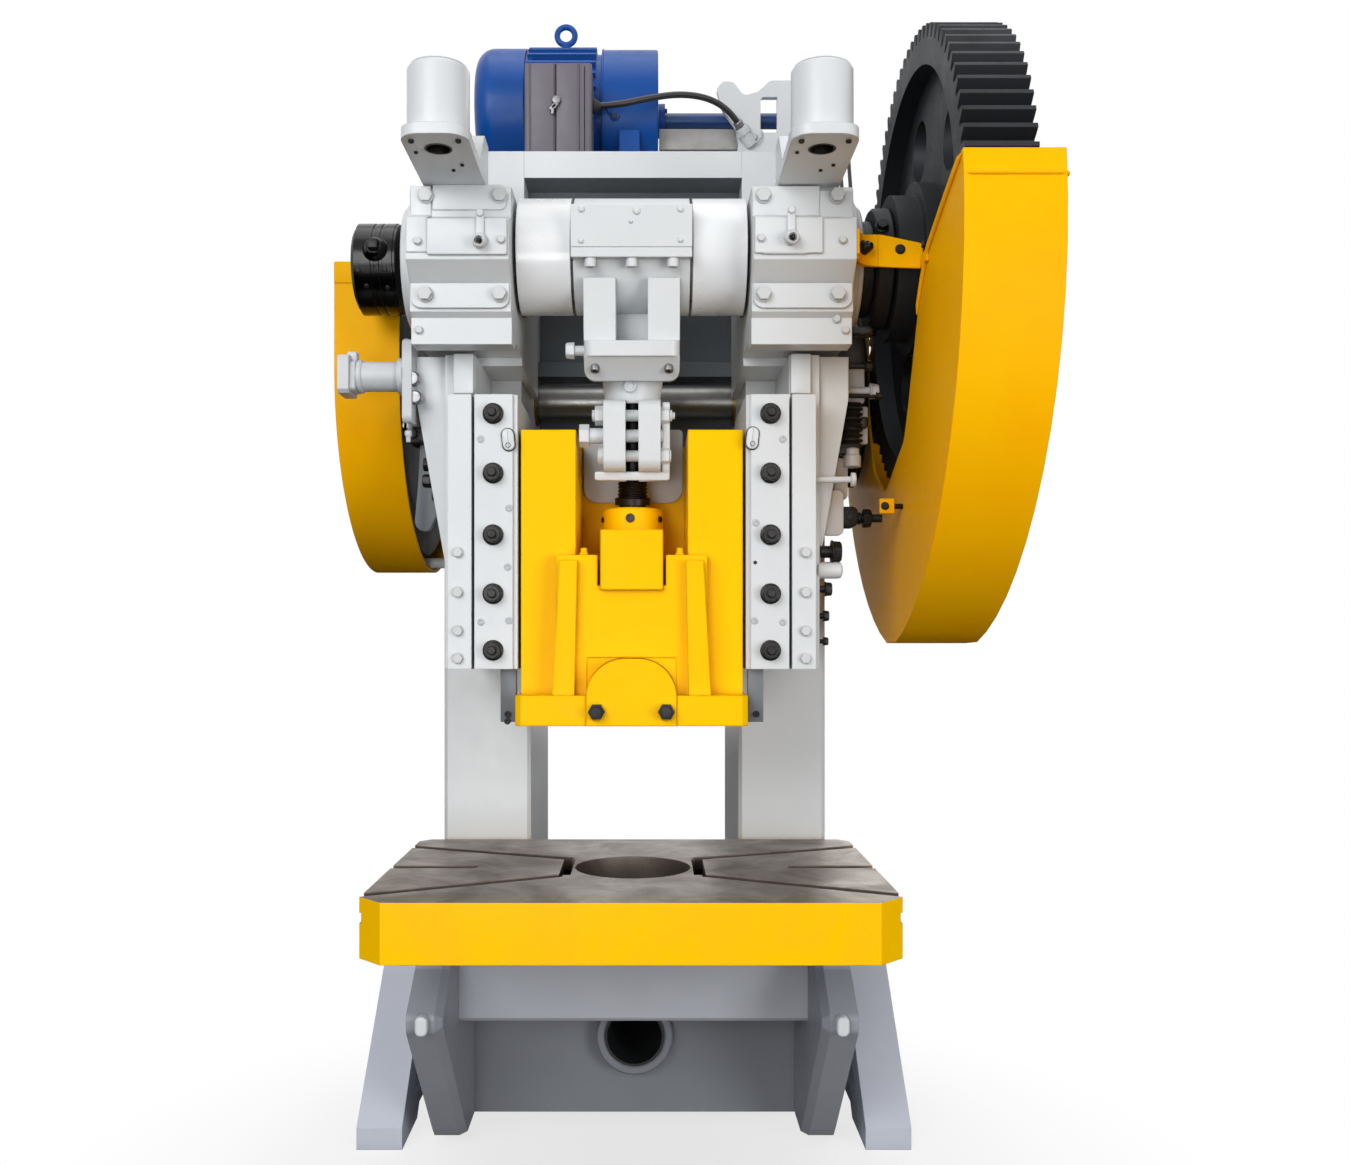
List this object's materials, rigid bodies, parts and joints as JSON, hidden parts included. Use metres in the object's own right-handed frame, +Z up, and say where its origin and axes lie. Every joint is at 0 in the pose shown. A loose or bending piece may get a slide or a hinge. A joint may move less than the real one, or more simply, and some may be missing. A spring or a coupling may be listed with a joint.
{
  "type": "mechanical stamping press",
  "caption": "Open-back inclinable crank press: white cast head on a grey base, yellow ram and guards, slotted bolster, big spur gear and motor on top.",
  "frame": {"origin": "centre of the bolster's top face, on the axis of its hole and of the ram", "axes": "+X to the machine's right as the operator sees it, +Y to its rear, +Z up"},
  "size_m": [0.997, 1.1257, 1.9528],
  "materials": {
    "white_paint": "white gloss machine paint",
    "yellow_paint": "yellow gloss machine paint",
    "base_paint": "grey gloss machine paint",
    "leg_paint": "blue-grey gloss machine paint",
    "grey_paint": "light grey machine paint",
    "blue_paint": "blue gloss paint",
    "grey_brown_paint": "warm grey paint",
    "machined_steel": "milled, lightly oiled",
    "bright_steel": "turned",
    "dark_steel": "black oxide",
    "dark_iron": "dark painted cast iron",
    "black_enamel": "black gloss enamel",
    "bronze": "turned bronze",
    "black_rubber": "matt black"
  },
  "bodies": {
    "stand": {"leg_left": "leg_paint", "leg_right": "leg_paint", "pivot_pins": "dark_steel"},
    "frame": {"bolster": "machined_steel", "bed_plate": "base_paint", "base_cheek_left": "base_paint", "base_cheek_right": "base_paint", "front_beam": "base_paint", "lower_panel": "base_paint", "nose_lugs": "white_paint", "clamp_bolts": "dark_steel", "side_frame_left": "white_paint", "side_frame_right": "white_paint", "head_walls": "white_paint", "bearing_cap_left": "white_paint", "bearing_cap_right": "white_paint", "bearing_bushes": "bronze", "bearing_covers": "white_paint", "frame_bolts": "bright_steel", "gib_left": "white_paint", "gib_right": "white_paint", "gib_strips": "white_paint", "gib_bolts": "dark_steel", "balance_brackets": "white_paint", "balance_cylinders": "white_paint", "flywheel_guard": "yellow_paint", "guard_ties": "white_paint", "gear_guard": "yellow_paint", "guard_bracket": "yellow_paint", "motor_plate": "white_paint", "motor_body": "blue_paint", "motor_cowl": "blue_paint", "terminal_box": "grey_brown_paint", "shaft_bracket": "white_paint", "pillow_block": "white_paint", "motor_cable": "black_rubber", "brake_cylinder": "grey_paint", "drive_belts": "black_rubber"},
    "gear": {"bull_gear": "dark_iron", "gear_bush": "bronze"},
    "drive": {"drive_shaft": "bright_steel", "pinion": "dark_iron", "flywheel": "dark_iron", "driven_pulley": "dark_iron"},
    "rotor": {"motor_shaft": "bright_steel"},
    "crank": {"crankshaft": "white_paint", "crank_disc": "black_enamel", "clutch_sleeve": "black_enamel", "crank_end_plate": "dark_steel"},
    "rod": {"connecting_rod": "white_paint", "rod_cap": "white_paint", "rod_bush": "bronze", "rod_bolts": "bright_steel", "adjusting_screw": "bright_steel"},
    "slide": {"ram": "yellow_paint", "ball_block": "yellow_paint", "ball_cap": "yellow_paint", "pocket_plate": "white_paint", "shank_clamp": "yellow_paint", "ram_bolts": "dark_steel"}
  },
  "joints": [
    {"name": "frame_tilt", "type": "hinge", "parent": "stand", "child": "frame", "pos_m": [0, 0.44, -0.19], "axis": [-1, 0, 0], "range_deg": [0, 30]},
    {"name": "gear_spin", "type": "hinge", "parent": "frame", "child": "gear", "pos_m": [0.45, 0, 0.879], "axis": [1, 0, 0], "continuous": true},
    {"name": "drive_spin", "type": "hinge", "parent": "frame", "child": "drive", "pos_m": [0, 0.36204, 0.751], "axis": [1, 0, 0], "continuous": true},
    {"name": "rotor_spin", "type": "hinge", "parent": "frame", "child": "rotor", "pos_m": [0.2, 0.47, 1.292], "axis": [1, 0, 0], "continuous": true},
    {"name": "crank_turn", "type": "hinge", "parent": "frame", "child": "crank", "pos_m": [0, 0, 0.879], "axis": [1, 0, 0], "range_deg": [-30, 30]},
    {"name": "rod_swing", "type": "hinge", "parent": "crank", "child": "rod", "pos_m": [0, -0.06, 0.879], "axis": [1, 0, 0], "range_deg": [-30.5, 30.5]},
    {"name": "ram_slide", "type": "slide", "parent": "frame", "child": "slide", "axis": [0, 0, -1], "range_m": [-0.031, 0.031]}
  ],
  "couplings": [
    {"joint": "drive_spin", "follows": "gear_spin", "ratio": -5},
    {"joint": "rotor_spin", "follows": "gear_spin", "ratio": -13.108},
    {"joint": "rod_swing", "follows": "crank_turn", "ratio": -1},
    {"joint": "ram_slide", "follows": "crank_turn", "m_per_rad": 0.0585}
  ]
}
